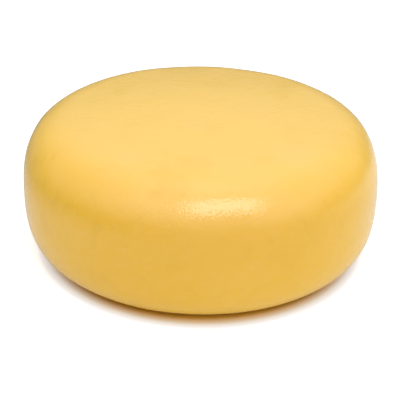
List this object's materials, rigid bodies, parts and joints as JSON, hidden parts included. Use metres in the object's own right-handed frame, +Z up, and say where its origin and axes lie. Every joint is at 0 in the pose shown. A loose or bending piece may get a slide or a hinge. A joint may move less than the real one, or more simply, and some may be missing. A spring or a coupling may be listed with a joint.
{
  "type": "cheese wheel",
  "caption": "Whole round wheel of semi-hard cheese in a smooth satin yellow coating, with a flat base, a low domed top and bulging rounded sides.",
  "frame": {"origin": "middle of the flat base, on the surface that the wheel stands on", "axes": "+Z up along the wheel's axis; +Y away from the viewer of the front, which faces -Y; +X to the viewer's right"},
  "size_m": [0.2453, 0.2447, 0.1003],
  "materials": {
    "coated_rind": "satin"
  },
  "bodies": {
    "root": {"cheese_wheel": "coated_rind"}
  },
  "joints": []
}
